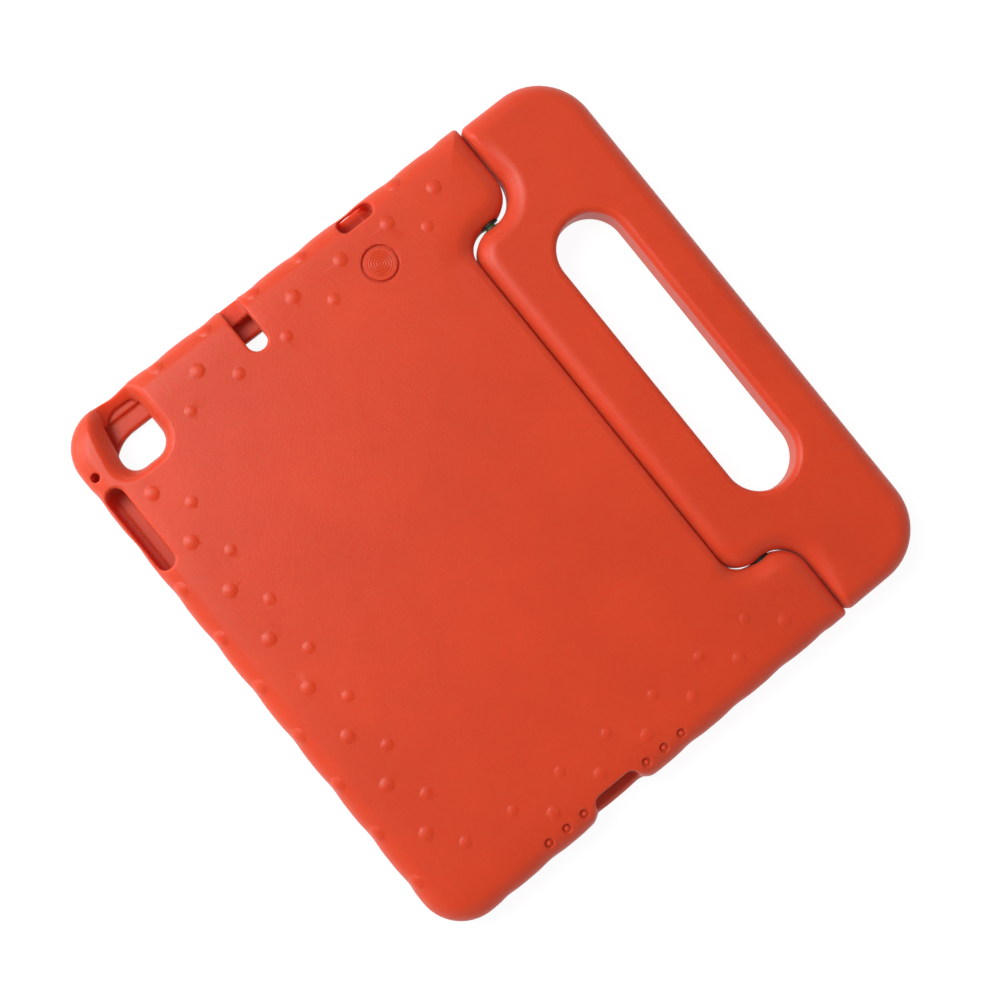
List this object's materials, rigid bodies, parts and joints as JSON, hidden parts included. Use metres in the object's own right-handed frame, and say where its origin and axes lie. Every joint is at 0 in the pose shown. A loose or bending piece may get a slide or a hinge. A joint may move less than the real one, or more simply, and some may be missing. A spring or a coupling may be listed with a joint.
{
  "type": "kids tablet case with handle",
  "caption": "Thick foam case for a tablet, with a folding carry handle hinged between two ears, cut-outs for the camera, ports and buttons, and an open screen window.",
  "frame": {"origin": "middle of the footprint of case and handle, on the plane of the front lip, which is the bottom", "axes": "+X along the tablet's long edge from the camera end to the charging end, +Y towards the handle, +Z out of the back of the case"},
  "size_m": [0.2558, 0.2558, 0.0216],
  "materials": {
    "foam_red": "satin closed-cell moulded foam",
    "pin_green": "satin",
    "sleeve_black": "matte"
  },
  "bodies": {
    "case": {"case_shell": "foam_red", "hinge_pin_left": "pin_green", "hinge_pin_right": "pin_green", "ear_sleeve_left": "sleeve_black", "ear_sleeve_right": "sleeve_black"},
    "handle": {"handle": "foam_red", "handle_sleeve_left": "sleeve_black", "handle_sleeve_right": "sleeve_black"}
  },
  "joints": [
    {"name": "handle_hinge", "type": "hinge", "parent": "case", "child": "handle", "pos_m": [0, 0.06515, 0.0105], "axis": [1, 0, 0], "range_deg": [0, 100]}
  ]
}
